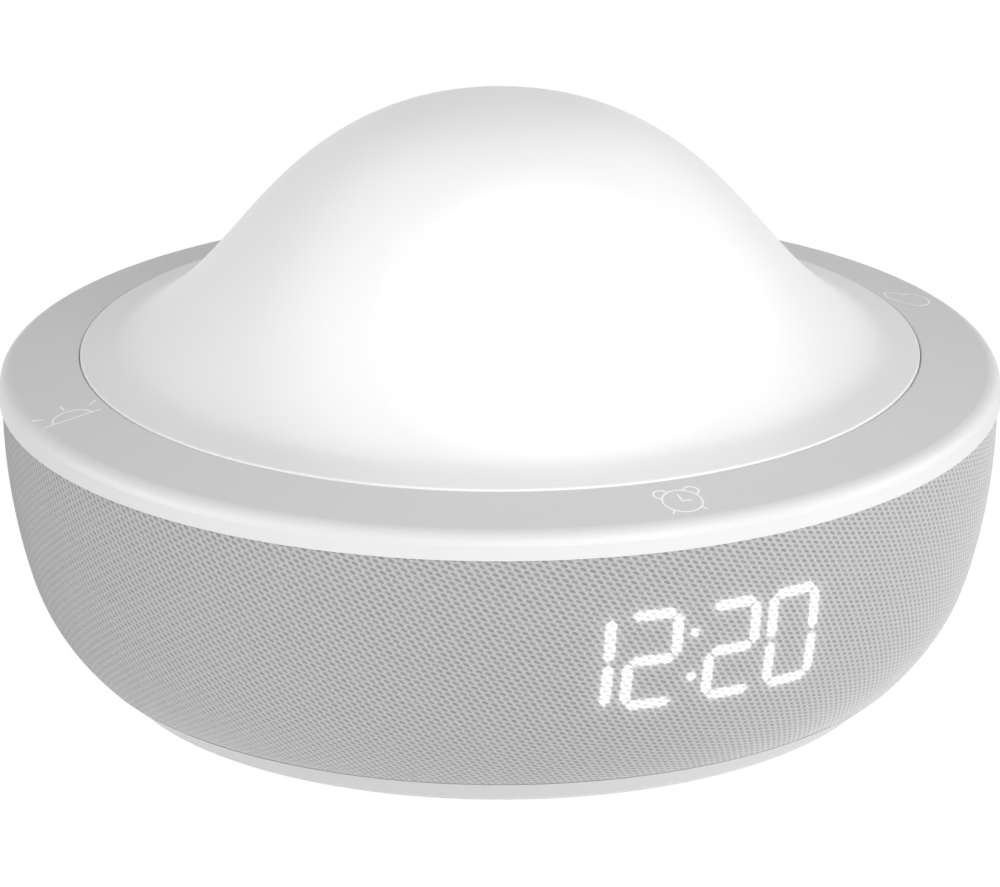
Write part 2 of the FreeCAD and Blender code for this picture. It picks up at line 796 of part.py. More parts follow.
def inlet_well():
    """Cup in the back of the bowl, trimmed to the bowl's face, that the plug goes into."""
    cup = inlet_tube(well_r + well_wall, cutter_length)
    cup = cup.cut(along_y(well_r, 0, z_inlet, well_floor_y + plate_wall, well_floor_y + cutter_length))
    cup = cup.common(bowl_filled(-well_proud, z_pan + 0.5, z_band))
    return cup.cut(along_y(inlet_bore_r, 0, z_inlet, well_floor_y - 1, well_floor_y + plate_wall + 1))


def jack_body():
    middle_y = well_floor_y - jack_length / 2
    case = block(0, middle_y, z_inlet - jack_width / 2, jack_width, jack_length, jack_width)
    return case.cut(along_y(inlet_bore_r, 0, z_inlet, well_floor_y - inlet_depth, well_floor_y + 1))


def jack_pin():
    y_tip = well_floor_y - 1.0
    pin = along_y(inlet_pin_r, 0, z_inlet, well_floor_y - inlet_depth, y_tip)
    return pin.makeFillet(0.3, [edge for edge in pin.Edges if abs(edge.BoundBox.YMin - y_tip) < 0.001
                                and edge.BoundBox.YLength < 0.001])


def lead(points, r=lead_r):
    """Tube along straight runs joined by tangent arcs, each as large as its runs allow."""
    edges, start = [], points[0]
    for before, corner, after in zip(points, points[1:], points[2:]):
        back, ahead = before - corner, after - corner
        half = (math.pi - back.getAngle(ahead)) / 2
        setback = 0.45 * min(back.Length, ahead.Length)
        first = corner + back.normalize() * setback
        last = corner + ahead.normalize() * setback
        radius = setback / math.tan(half)
        middle = (back + ahead).normalize()
        through = corner + middle * (radius / math.cos(half) - radius)
        edges += [line(start, first), arc(first, through, last)]
        start = last
        print("  lead bend radius", round(radius, 1))
    edges.append(line(start, points[-1]))
    path = Part.Wire(edges)
    section = Part.Wire(Part.makeCircle(r, points[0], points[1] - points[0]))
    return path.makePipeShell([section], True, False)


def speaker_frame():
    """Pressed basket: flange below, open sloping sides, seat of the magnet on top."""
    z_top = z_speaker + basket_depth
    hub_r = magnet_r - 1.0
    side_r = cone_r + surround_width + 0.4
    z_flange_top = z_speaker + speaker_flange_wall
    z_seat = z_top - basket_wall
    bowl = turned_points([
        (side_r, z_speaker), (speaker_flange_r, z_speaker), (speaker_flange_r, z_flange_top),
        (side_r + basket_wall, z_flange_top), (hub_r + basket_wall, z_seat), (hub_r + basket_wall, z_top),
        (magnet_bore_r, z_top), (magnet_bore_r, z_seat), (hub_r, z_seat), (side_r, z_flange_top),
    ])
    window = Part.makeCylinder(2.4, 40, Vector(10, 0, z_speaker + basket_depth * 0.42), Vector(1, 0, 0))
    holes = screw_holes(speaker_places, z_speaker - 1, z_speaker + 4)
    return cut_all(bowl, ring_of(window, 6, 15) + holes)


def speaker_cone():
    """Paper cone, wide end down, glued to the coil former at its neck."""
    neck_r = coil_r + coil_wall
    z_rim = z_speaker + 0.5
    return turned_points([
        (cone_r, z_rim), (cone_r, z_rim + cone_wall), (neck_r, z_rim + cone_depth + cone_wall),
        (neck_r, z_rim + cone_depth - 0.1),
    ])


def dust_cap():
    """Shallow part of a sphere that closes the coil at the middle of the cone."""
    r = coil_r + coil_wall - run_gap
    z_coil = z_speaker + 0.5 + cone_depth
    sphere_r = (r * r + cap_rise * cap_rise) / (2 * cap_rise)
    z_centre = z_coil + math.sqrt((sphere_r - cone_wall / 2) ** 2 - r * r)

    def bow_at(radius):
        points = [rz(x, z_centre - math.sqrt(radius * radius - x * x)) for x in (0, r / 2, r)]
        return arc(*points), points

    outer, outer_points = bow_at(sphere_r)
    inner, inner_points = bow_at(sphere_r - cone_wall / 2)
    middle, rim = (line(outer_points[i], inner_points[i]) for i in (0, 2))
    return turned([outer, inner, middle, rim])


def surround():
    """Rubber half-roll between cone and flange."""
    inner, outer = cone_r + 0.02, cone_r + surround_width + 0.35
    mid, half = (inner + outer) / 2, (outer - inner) / 2
    z = z_speaker + 0.7
    thin = half - surround_wall
    return turned([
        arc(rz(inner, z), rz(mid, z - half), rz(outer, z)), line(rz(outer, z), rz(mid + thin, z)),
        arc(rz(mid + thin, z), rz(mid, z - thin), rz(mid - thin, z)), line(rz(mid - thin, z), rz(inner, z)),
    ])


def spider():
    """Corrugated disc that centres the coil."""
    z = z_speaker + basket_depth - 3.4
    inner, outer = coil_r + coil_wall + 0.02, magnet_r - 1.4
    pitch = (outer - inner) / 5
    top = [(inner + pitch * i, z + spider_wall + (0.7 if i % 2 else 0.0)) for i in range(6)]
    bottom = [(r, zt - spider_wall) for r, zt in reversed(top)]
    return turned_points(top + bottom)


def voice_coil():
    z = z_speaker + 0.5 + cone_depth
    return tube(coil_r, coil_r + coil_wall, z, coil_length)


def motor():
    """Top plate, magnet and yoke of the speaker's motor."""
    z = z_speaker + basket_depth
    top_plate = tube(coil_r + coil_wall + air_gap, magnet_r, z, pole_plate)
    magnet = tube(magnet_bore_r, magnet_r, z + pole_plate, magnet_height)
    z_back = z + pole_plate + magnet_height
    pole = disc(coil_r - air_gap, z - 1.0, pole_plate + magnet_height + 1.5)
    return top_plate, magnet, joined([disc(magnet_r, z_back, pole_plate), pole])


def speaker_baffle():
    ears = [disc(baffle_ears_r, z_baffle, plate_wall, x, y) for x, y in baffle_places]
    plate = joined([tube(baffle_hole_r, baffle_r, z_baffle, plate_wall)] + ears)
    holes = screw_holes(baffle_places + speaker_places, z_baffle - 1, z_speaker + 1)
    return cut_all(plate, holes)


def speaker_chamber():
    """Closed cup over the speaker's back; it keeps the rear sound inside."""
    z = z_speaker + 0.8
    cup = turned_points([
        (chamber_r - chamber_wall, z), (chamber_r, z), (chamber_r, z + chamber_height),
        (0, z + chamber_height), (0, z + chamber_height - chamber_wall),
        (chamber_r - chamber_wall, z + chamber_height - chamber_wall),
    ])
    return cup.cut(along_y(lead_r + run_gap, socket_places[1][0], speaker_lead_z, -chamber_r, 0))


def cell_holder():
    """Cap over the backup cell, snapped on the pan's collar, with the cell inside."""
    roof_z = z_floor + cell_height
    cap = tube(collar_r + run_gap, collar_r + thin_wall, z_floor, cell_height + thin_wall, cell_x, cell_y)
    roof = disc(collar_r + thin_wall, roof_z, thin_wall, cell_x, cell_y)
    return joined([cap, roof])


def chips():
    z = z_main_board + board_wall
    return [block(-18, 6, z, 14, 14, 1.4), block(10, 10, z, 9, 9, 1.2), block(30, -8, z, 6.5, 5, 1.6),
            block(-34, -14, z, 5, 4, 1.5), block(4, -16, z, 8, 5.3, 1.7)]


def capacitors():
    z = z_main_board + board_wall
    return [disc(3.15, z, 5.6, 34, 14), disc(3.15, z, 5.6, 34, 22), disc(2.5, z, 5.2, -38, 12)]


def sockets():
    z = z_main_board + board_wall
    return [block(x, y, z, socket_width, socket_depth, socket_height) for x, y in socket_places]


socket_y = main_board_y / 2 - 3.5
socket_places = [(0, socket_y), (-15, -socket_y), (15, -socket_y), (20, 0)]


def plugged(x, y_edge, side):
    """End of a lead at the outer face of a board socket."""
    return Vector(x, y_edge + side * socket_depth / 2, z_main_board + board_wall + socket_height / 2)


def leads():
    """Four held leads: power, speaker, display and light."""
    power_end = plugged(socket_places[0][0], socket_places[0][1], 1)
    jack_back = Vector(0, well_floor_y - jack_length, z_inlet)
    rise_y = (power_end.y + jack_back.y) / 2 + 1.2
    power = lead([jack_back, Vector(0, rise_y, z_inlet), Vector(0, rise_y, power_end.z), power_end])
    speaker_end = plugged(socket_places[1][0], socket_places[1][1], -1)
    wall_y = -math.sqrt(chamber_r ** 2 - speaker_end.x ** 2)
    start = Vector(speaker_end.x, wall_y + 5, speaker_lead_z)
    out_y = wall_y - 8
    low, high = (Vector(start.x, out_y, z) for z in (start.z, speaker_end.z))
    speaker = lead([start, low, high, speaker_end])
    display_end = plugged(socket_places[2][0], socket_places[2][1], -1)
    face = Vector(display_end.x, housing_back_y + board_wall, z_display)
    half_y = face.y + 14
    low, high = (Vector(face.x, half_y, z) for z in (face.z, display_end.z))
    display = lead([face, low, high, display_end])
    light_x, light_y = socket_places[3]
    z_from = z_main_board + board_wall + socket_height
    light = disc(lead_r, z_from, z_touch_board + light_post_height - z_from, light_x - 8, light_y)
    return power, speaker, display, light


def build():
    os.makedirs("parts", exist_ok=True)
    save("base_pan", base_pan())
    save("rubber_feet", [disc(foot_r, 0, foot_proud + foot_recess, x, y) for x, y in foot_places])
    save("base_screws", screws(base_screw_places, z_pan + screw_sink))
    save("battery_door", battery_door())
    save("backup_cell", disc(cell_r, z_floor, cell_height, cell_x, cell_y))
    save("cell_holder", cell_holder())
    save("body_shell", body_shell())
    save("fabric_sleeve", fabric_sleeve())

    marks = {"alarm_mark": clock_mark(), "sunrise_mark": sun_mark(), "heart_mark": heart_mark(),
             "moon_mark": moon_mark()}
    cover = touch_cover()
    for name, walls in marks.items():
        inlay = cover_marks(walls)
        save(name, inlay)
        cover = cover.cut(inlay)
    save("touch_cover", cover)
    save("touch_board", touch_board())
    save("touch_pads", touch_pads())
    save("switch_bodies", switch_bodies())
    save("switch_plungers", switch_plungers())
    save("return_pads", return_pads())
    save("dome_diffuser", dome_diffuser())

    save("chassis_plate", chassis_plate())
    save("chassis_screws", screws(chassis_places, z_plate + plate_wall, up=False))
    light_board, lamps, tray, z_light = light_parts()
    save("light_board", light_board)
    save("sunrise_leds", lamps)
    save("reflector_tray", tray)
    save("light_board_screws", screws(light_places, z_light, up=False))

    main_hole = screw_holes(main_places, z_main_board - 1, z_plate)
    main_board = block(0, 0, z_main_board, main_board_x, main_board_y, board_wall)
    save("main_board", cut_all(main_board, main_hole))
    save("main_board_screws", screws(main_places, z_main_board))
    save("board_chips", chips())
    save("board_capacitors", capacitors())
    save("board_sockets", sockets())

    space = display_space()
    digits = [digit(x, space) for x in digit_places]
    dots = colon(space)
    housing = display_block(0, 0).common(space)
    save("display_housing", cut_all(housing, dots + [one for bars in digits for one in bars]))
    for number, bars in enumerate(digits, 1):
        save("display_digit_" + str(number), bars)
    save("display_colon", dots)
    board_height = housing_height + display_tab_height
    board_y = housing_back_y + board_wall / 2
    board = block(0, board_y, z_display - housing_height / 2, display_board_x, board_wall, board_height)
    save("display_board", cut_all(board, display_screw_holes()))
    save("display_screws", display_screws())

    save("inlet_well", inlet_well())
    save("inlet_jack", jack_body())
    save("inlet_pin", jack_pin())

    top_plate, magnet, yoke = motor()
    save("speaker_baffle", speaker_baffle())
    save("speaker_basket", speaker_frame())
    flange_screws = screws(speaker_places, z_speaker + speaker_flange_wall, False, short_screw_length)
    save("speaker_screws", flange_screws + screws(baffle_places, z_speaker, up=False))
    save("speaker_top_plate", top_plate)
    save("speaker_magnet", magnet)
    save("speaker_yoke", yoke)
    save("speaker_cone", speaker_cone())
    save("speaker_dust_cap", dust_cap())
    save("speaker_coil", voice_coil())
    save("speaker_surround", surround())
    save("speaker_spider", spider())
    save("speaker_chamber", speaker_chamber())
    save("chamber_gasket", tube(chamber_r - chamber_wall, chamber_r, z_speaker, 0.8))
    cone = Part.makeCone(deflector_r, 2.0, deflector_height, Vector(0, 0, z_floor))
    save("sound_deflector", cone)

    for name, tube_shape in zip(("power_lead", "speaker_lead", "display_lead", "light_lead"), leads()):
        save(name, tube_shape)


build()
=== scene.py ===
# %% [markdown]
# # Sunrise alarm clock
# The clock is a fabric bowl on a white base, with a sloping touch cover and a glowing dome on top.
# Its solid pieces come ready made, in metres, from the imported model. This lesson gives each of
# them its finish, and makes the knitted sleeve as a mesh of its own, because its weave and the
# digits that shine through it need a surface with its own map.

# %% Load the model
import json
import math

import bpy
import numpy as np
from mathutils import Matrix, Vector


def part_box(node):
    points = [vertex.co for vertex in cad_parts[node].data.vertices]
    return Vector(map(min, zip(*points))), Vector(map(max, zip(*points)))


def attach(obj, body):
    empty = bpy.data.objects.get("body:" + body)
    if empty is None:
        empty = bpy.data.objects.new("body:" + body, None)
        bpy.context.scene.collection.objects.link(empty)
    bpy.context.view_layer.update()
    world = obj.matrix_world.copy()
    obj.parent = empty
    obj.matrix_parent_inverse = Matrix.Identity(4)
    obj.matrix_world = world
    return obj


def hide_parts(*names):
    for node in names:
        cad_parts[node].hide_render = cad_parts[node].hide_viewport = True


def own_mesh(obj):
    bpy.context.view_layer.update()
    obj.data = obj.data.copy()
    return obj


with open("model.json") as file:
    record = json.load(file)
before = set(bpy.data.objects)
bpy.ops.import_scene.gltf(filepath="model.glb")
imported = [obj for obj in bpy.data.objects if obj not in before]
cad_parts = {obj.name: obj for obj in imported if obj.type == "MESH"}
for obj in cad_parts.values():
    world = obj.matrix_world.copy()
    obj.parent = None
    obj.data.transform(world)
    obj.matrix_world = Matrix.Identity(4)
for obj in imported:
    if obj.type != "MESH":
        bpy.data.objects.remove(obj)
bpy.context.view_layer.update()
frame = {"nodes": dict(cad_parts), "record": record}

MM = 0.001

# %% [markdown]
# ## Measuring the model
# The sleeve, its digits and its hole take their places from the boxes of the imported pieces. What
# a box can't say, such as the two radii of the bowl's side, is written here as a real size, so it
# has to be changed by hand when the model's own value changes. The camera, the lamps and the
# place of the painted light on the dome's front are written values too.

# %% Sizes of the bowl
sleeve_low, sleeve_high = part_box("fabric_sleeve")
cover_low, cover_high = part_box("touch_cover")
dome_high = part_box("dome_diffuser")[1]
well_low, well_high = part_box("inlet_well")
BOWL_R = sleeve_high.x
UPPER_ARC_R = 110.0 * MM
LOWER_ARC_R = 37.5 * MM
BEND = math.radians(16.3)
WIDEST_Z = cover_low.z - 1.0 * MM
SLEEVE_WALL = 0.7 * MM
print("bowl radius in mm", round(BOWL_R / MM, 2), "cover height", round(cover_high.z / MM, 2))

# %% [markdown]
# ## Camera
# A product picture like this one is taken from far away with a long lens, which keeps the
# circles nearly as they would be in a drawing. The camera stands about 22 degrees to the left of
# the display and looks down by about 19 degrees. Its aim lies below the cover, which sets how
# high the clock sits in the frame.

# %% Camera at the viewing angle
CAMERA_AZIMUTH = math.radians(-22.1)
CAMERA_ELEVATION = math.radians(18.82)
CAMERA_DISTANCE = 15.0 * 92.5 * MM
CAMERA_LENS = 269.6
SENSOR_WIDTH = 36.0
CAMERA_CENTRE = Vector((0, 0, 62.09 * MM))
AIM_BELOW = 17.8 * MM


def add_camera():
    """Camera on a sphere round the foot of the dome, turned to a point just below it."""
    sin_a, cos_a = math.sin(CAMERA_AZIMUTH), math.cos(CAMERA_AZIMUTH)
    sin_e, cos_e = math.sin(CAMERA_ELEVATION), math.cos(CAMERA_ELEVATION)
    backward = Vector((sin_a * cos_e, -cos_a * cos_e, sin_e))
    upward = Vector((-sin_a * sin_e, cos_a * sin_e, cos_e))
    place = CAMERA_CENTRE + backward * CAMERA_DISTANCE
    target = CAMERA_CENTRE - upward * AIM_BELOW
    data = bpy.data.cameras.new("camera")
    data.lens = CAMERA_LENS
    data.sensor_width = SENSOR_WIDTH
    data.clip_start, data.clip_end = 0.05, 20.0
    camera = bpy.data.objects.new("camera", data)
    camera.location = place
    camera.rotation_mode = "QUATERNION"
    camera.rotation_quaternion = (target - place).to_track_quat("-Z", "Y")
    bpy.context.scene.collection.objects.link(camera)
    bpy.context.scene.camera = camera


add_camera()

# %% [markdown]
# ## Helpers for shader nodes
# A material is a small graph. These helpers add a node, set its sockets and link them in one
# call, so that each material below reads like the list of what it is made of.

# %% Node helpers


def add_node(tree, kind, settings=None, **inputs):
    """Adds a node; settings are its properties, inputs are values or sockets by name or index."""
    node = tree.nodes.new(kind)
    for key, value in (settings or {}).items():
        setattr(node, key, value)
    for key, value in inputs.items():
        socket = node.inputs[int(key[1:])] if key[0] == "_" else node.inputs[key.replace("_", " ")]
        if isinstance(value, bpy.types.NodeSocket):
            tree.links.new(value, socket)
        else:
            socket.default_value = value
    return node


def maths(tree, operation, *values, clamp=False):
    """A Math node's result; each value is a number or a socket."""
    inputs = {f"_{i}": value for i, value in enumerate(values)}
    settings = {"operation": operation, "use_clamp": clamp}
    return add_node(tree, "ShaderNodeMath", settings, **inputs).outputs[0]


def ramp(tree, factor, stops, smooth=True):
    """A colour ramp; stops are (position, grey or colour)."""
    node = add_node(tree, "ShaderNodeValToRGB", _0=factor)
    node.color_ramp.interpolation = "EASE" if smooth else "LINEAR"
    elements = node.color_ramp.elements
    while len(elements) < len(stops):
        elements.new(0.5)
    for element, (position, tone) in zip(elements, stops):
        element.position = position
        element.color = (tone, tone, tone, 1) if isinstance(tone, (int, float)) else (*tone, 1)
    return node.outputs["Color"]


def new_material(name, **shader):
    """A material with one Principled shader; returns material, tree and shader."""
    material = bpy.data.materials.new(name)
    material.use_nodes = True
    tree = material.node_tree
    principled = tree.nodes["Principled BSDF"]
    for key, value in shader.items():
        principled.inputs[key.replace("_", " ")].default_value = value
    return material, tree, principled


def new_group(name, inputs, outputs):
    """An empty node group; inputs are (name, kind, default), outputs are (name, kind)."""
    group = bpy.data.node_groups.new(name, "ShaderNodeTree")
    for title, kind, default in inputs:
        socket = group.interface.new_socket(title, in_out="INPUT", socket_type=kind)
        if default is not None:
            socket.default_value = default
    for title, kind in outputs:
        group.interface.new_socket(title, in_out="OUTPUT", socket_type=kind)
    start = group.nodes.new("NodeGroupInput")
    end = group.nodes.new("NodeGroupOutput")
    return group, start, end


def use_group(tree, group, **inputs):
    """Places a node group in a material and feeds its inputs."""
    node = tree.nodes.new("ShaderNodeGroup")
    node.node_tree = group
    for key, value in inputs.items():
        socket = node.inputs[key.replace("_", " ")]
        if isinstance(value, bpy.types.NodeSocket):
            tree.links.new(value, socket)
        else:
            socket.default_value = value
    return node


# %% [markdown]
# ## Moulded plastic
# A plastic case isn't one flat colour. The mould is spark-eroded, which leaves a fine grain, and
# thick and thin places cool at different speeds, so the tone drifts by a hair. One node group
# makes both: a fine noise for the grain's height and roughness, and a slow one for the tone.
# Each material places the group with its own colour, grain size and strength.

# %% Node group for moulded grain


def make_moulded_group():
    """Tone = colour x (1 + slow noise x drift); roughness = base + fine noise x spread."""
    group, start, end = new_group(
        "moulded_grain",
        [("Tone", "NodeSocketColor", (0.8, 0.8, 0.8, 1)), ("Drift", "NodeSocketFloat", 0.02),
         ("Roughness", "NodeSocketFloat", 0.4), ("Spread", "NodeSocketFloat", 0.08),
         ("Grain per metre", "NodeSocketFloat", 3000.0), ("Depth", "NodeSocketFloat", 0.1)],
        [("Color", "NodeSocketColor"), ("Roughness", "NodeSocketFloat"), ("Normal", "NodeSocketVector")])
    place = add_node(group, "ShaderNodeTexCoord").outputs["Object"]
    fine = add_node(group, "ShaderNodeTexNoise", Vector=place, Scale=start.outputs["Grain per metre"],
                    Detail=2.0).outputs[0]
    slow = add_node(group, "ShaderNodeTexNoise", Vector=place, Scale=22.0, Detail=2.0).outputs[0]
    drift = maths(group, "MULTIPLY", maths(group, "SUBTRACT", slow, 0.5), start.outputs["Drift"])
    factor = maths(group, "ADD", drift, 1.0)
    tone = add_node(group, "ShaderNodeVectorMath", {"operation": "SCALE"}, _0=start.outputs["Tone"],
                    _3=factor)
    rough = maths(group, "MULTIPLY", maths(group, "SUBTRACT", fine, 0.5), start.outputs["Spread"])
    rough = maths(group, "ADD", rough, start.outputs["Roughness"], clamp=True)
    bump = add_node(group, "ShaderNodeBump", Strength=start.outputs["Depth"], Distance=0.00005, Height=fine)
    group.links.new(tone.outputs[0], end.inputs["Color"])
    group.links.new(rough, end.inputs["Roughness"])
    group.links.new(bump.outputs[0], end.inputs["Normal"])
    return group


MOULDED = make_moulded_group()


def moulded(name, tone, roughness, grain=3000.0, depth=0.1, drift=0.02, spread=0.08, **shader):
    """A plastic, rubber or metal finish from the moulded grain group."""
    material, tree, principled = new_material(name, **shader)
    grey = (tone, tone, tone) if isinstance(tone, float) else tone
    group = use_group(tree, MOULDED, Tone=(*grey, 1), Drift=drift, Roughness=roughness, Spread=spread,
                      Grain_per_metre=grain, Depth=depth)
    tree.links.new(group.outputs["Color"], principled.inputs["Base Color"])
    tree.links.new(group.outputs["Roughness"], principled.inputs["Roughness"])
    tree.links.new(group.outputs["Normal"], principled.inputs["Normal"])
    return material


def dress(node, material):
    """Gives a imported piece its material."""
    piece = frame["nodes"][node]
    if not piece.material_slots:
        piece.data.materials.append(material)
    for slot in piece.material_slots:
        slot.material = material


# %% [markdown]
# ## Surfaces on a grid
# A round piece is a grid of points: one direction goes along its outline, the other round the
# axis. Quads join the points, and the last row and column are joined back to the first ones, so
# no seam is open.

# %% Grid to mesh


def grid_quads(rows, columns):
    """Corner numbers of the quads of a grid that closes in both directions."""
    i, j = np.meshgrid(np.arange(rows), np.arange(columns), indexing="ij")
    i_next, j_next = (i + 1) % rows, (j + 1) % columns
    quads = np.stack([i * columns + j, i * columns + j_next, i_next * columns + j_next,
                      i_next * columns + j], axis=-1)
    return quads.reshape(-1, 4)


def quads_to_object(name, points, quads, material):
    """A smooth-shaded object from arrays of points and of quads."""
    mesh = bpy.data.meshes.new(name)
    mesh.vertices.add(len(points))
    mesh.vertices.foreach_set("co", points.astype(np.float32).ravel())
    mesh.loops.add(quads.size)
    mesh.loops.foreach_set("vertex_index", quads.astype(np.int32).ravel())
    mesh.polygons.add(len(quads))
    mesh.polygons.foreach_set("loop_start", np.arange(0, quads.size, 4, dtype=np.int32))
    mesh.polygons.foreach_set("use_smooth", np.ones(len(quads), bool))
    mesh.update(calc_edges=True)
    mesh.validate()
    piece = bpy.data.objects.new(name, mesh)
    piece.data.materials.append(material)
    bpy.context.scene.collection.objects.link(piece)
    return piece


# %% [markdown]
# ## The knitted sleeve
# The sleeve is a tube of open knit, drawn over the bowl and tucked up behind the cover's rim. Its
# outline is two tangent arcs, a long one down the side and a short one that turns in under the
# bowl. The grid is coarse round the back and fine in front of the display, because the light of
# the digits is stored in its points.

# %% Outline and columns of the sleeve


def bowl_radius(z, inset=0.0):
    """Radius at height z: an arc of 110 mm down to the bend, then a tangent arc of 37.5 mm."""
    upper_r, lower_r = UPPER_ARC_R - inset, LOWER_ARC_R - inset
    upper_x, upper_z = BOWL_R - UPPER_ARC_R, WIDEST_Z
    lower_x = upper_x + math.cos(BEND) * (UPPER_ARC_R - LOWER_ARC_R)
    lower_z = upper_z - math.sin(BEND) * (UPPER_ARC_R - LOWER_ARC_R)
    above = z >= upper_z - upper_r * math.sin(BEND)
    upper = upper_x + np.sqrt(np.maximum(upper_r ** 2 - (z - upper_z) ** 2, 0))
    lower = lower_x + np.sqrt(np.maximum(lower_r ** 2 - (z - lower_z) ** 2, 0))
    return np.where(above, upper, lower)


DIGIT_STEP = 0.20 * MM
COARSE_STEP = 2.2 * MM
ROW_STEP = 1.2 * MM
INSIDE_ROWS = 8
HEM_RISE, HEM_INSET = 0.3 * MM, 0.25 * MM
HALO_REACH = 2.0 * MM
digits_low, digits_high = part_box("display_digit_1")[0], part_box("display_digit_4")[1]


def graded(low, high, fine_low, fine_high, fine, coarse):
    """Values from low to high, closely spaced between fine_low and fine_high."""
    parts = []
    for start, end, step in ((low, fine_low, coarse), (fine_low, fine_high, fine), (fine_high, high, coarse)):
        count = max(int(round((end - start) / step)), 1)
        parts.append(np.linspace(start, end, count, endpoint=False))
    return np.append(np.concatenate(parts), high)


def sleeve_outline():
    """Outside rows from the hem up, then inside rows back down, as radius and height."""
    outside = graded(sleeve_low.z + HEM_RISE, sleeve_high.z, digits_low.z - HALO_REACH,
                     digits_high.z + HALO_REACH, DIGIT_STEP, ROW_STEP)
    inside = np.linspace(sleeve_high.z, sleeve_low.z, INSIDE_ROWS)
    r = np.concatenate([bowl_radius(outside), bowl_radius(inside, SLEEVE_WALL)])
    z = np.concatenate([outside, inside])
    r = np.insert(r, 0, bowl_radius(sleeve_low.z) - HEM_INSET)
    z = np.insert(z, 0, sleeve_low.z)
    return r, z, len(outside) + 1


outline_r, outline_z, outside_rows = sleeve_outline()
half_angle = math.asin((digits_high.x + HALO_REACH) / BOWL_R)
angles = graded(-math.pi, math.pi, -half_angle, half_angle, DIGIT_STEP / BOWL_R, COARSE_STEP / BOWL_R)[:-1]
print("sleeve grid", len(outline_r), "rows by", len(angles), "columns")

# %% [markdown]
# ## Digits as distances
# Each digit is a set of six-sided light bars. The distance from a point to a bar is worked out
# for the whole grid at once, and the smallest one tells how brightly the knit is lit there: full
# inside the bar, a soft edge where the threads spread the light, and a faint halo around.

# %% Light of the digits on the sleeve
TIME_SHOWN = "12:20"
BAR_HALF_WIDTH = 1.05 * MM
BAR_GAP = 0.25 * MM
BARS_LIT = {"0": "abcdef", "1": "bc", "2": "abged"}


def bar_distance(x, z, bar_x, bar_z, half_length, upright):
    """Distance to a six-sided bar: how far past its flat sides or its 45 degree points."""
    along, across = (z - bar_z, x - bar_x) if upright else (x - bar_x, z - bar_z)
    along, across = np.abs(along), np.abs(across)
    flat = across - BAR_HALF_WIDTH
    point = (along + across - half_length) / math.sqrt(2)
    corner = np.hypot(np.maximum(flat, 0), np.maximum(point, 0))
    return np.maximum(flat, point) * (np.maximum(flat, point) <= 0) + corner


def digit_distance(x, z, figure, low, high):
    """Smallest distance to the lit bars of one digit, whose box is low to high."""
    left, right = low.x + BAR_HALF_WIDTH, high.x - BAR_HALF_WIDTH
    bottom, top = low.z + BAR_HALF_WIDTH, high.z - BAR_HALF_WIDTH
    middle_x, middle_z = (left + right) / 2, (bottom + top) / 2
    across = (right - left) / 2 - BAR_GAP / 2
    down = (top - bottom) / 4 - BAR_GAP / 2
    bars = {"a": (middle_x, top, across, False), "g": (middle_x, middle_z, across, False),
            "d": (middle_x, bottom, across, False), "f": (left, (middle_z + top) / 2, down, True),
            "e": (left, (bottom + middle_z) / 2, down, True), "b": (right, (middle_z + top) / 2, down, True),
            "c": (right, (bottom + middle_z) / 2, down, True)}
    return np.min([bar_distance(x, z, *bars[bar]) for bar in BARS_LIT[figure]], axis=0)


def display_distance(x, z):
    """Smallest distance to any lit bar or colon dot, over the whole grid."""
    figures = TIME_SHOWN.replace(":", "")
    nearest = []
    for i, figure in enumerate(figures):
        nearest.append(digit_distance(x, z, figure, *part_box(f"display_digit_{i + 1}")))
    low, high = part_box("display_colon")
    dot_r = (high.x - low.x) / 2
    for dot_z in (low.z + dot_r, high.z - dot_r):
        nearest.append(np.hypot(x, z - dot_z) - dot_r)
    return np.min(nearest, axis=0)


BAR_LIGHT = 0.72
EDGE_START = 0.30
EDGE_WIDTH = 0.50 * MM
HALO_LIGHT = 0.13
HALO_FALL = 0.8 * MM


def glow_of(distance):
    """Full light inside a bar, a soft edge about its outline, and a halo that fades outwards."""
    edge = np.clip(EDGE_START - distance / EDGE_WIDTH, 0, 1)
    edge = edge * edge * (3 - 2 * edge)
    halo = HALO_LIGHT * np.exp(-np.maximum(distance, 0) / HALO_FALL)
    return BAR_LIGHT * edge + halo * (1 - edge)


# %% [markdown]
# ## The knit itself
# Close up, the knit shows rows of dark slots between light loops, set like bricks and slanting
# a little round the bowl. The node group turns the map by the slant and finds the nearest slot of
# two interleaved square lattices. Each slot is an ellipse that leans 11 degrees more than its row,
# and some are fainter than others. The group gives its darkness, the height of the threads and
# their tone, which is a random fibre tone plus a painted highlight on each loop. The map is in
# millimetres where the bowl is widest. Further down, where the bowl is narrower, the slots draw
# together with the cloth.

# %% Node group for the knit
# The pitch is in millimetres, and the half axes of slots and loops are shares of it.
SLOT_PITCH = 1.74
SLOT_LONG, SLOT_SHORT = 0.38, 0.155
LOOP_HIGHLIGHT_LONG, LOOP_HIGHLIGHT_SHORT = 0.22, 0.11
SLOT_TILT = math.radians(11.0)
SLANT = math.radians(14.0)


def lattice_reach(group, parts, offset_x, offset_y, half_long, half_short):
    """Squared way to the nearest lattice point, in half axes of an ellipse turned by SLOT_TILT."""
    ways = []
    for part, offset in ((0, offset_x), (1, offset_y)):
        way = maths(group, "FRACT", maths(group, "ADD", parts.outputs[part], offset))
        ways.append(maths(group, "SUBTRACT", way, 0.5))
    cosine, sine = math.cos(SLOT_TILT), math.sin(SLOT_TILT)
    total = None
    for share_x, share_y, half in ((cosine, -sine, half_long), (sine, cosine, half_short)):
        way = maths(group, "MULTIPLY", ways[0], share_x / half)
        way = maths(group, "ADD", way, maths(group, "MULTIPLY", ways[1], share_y / half))
        square = maths(group, "MULTIPLY", way, way)
        total = square if total is None else maths(group, "ADD", total, square)
    return total


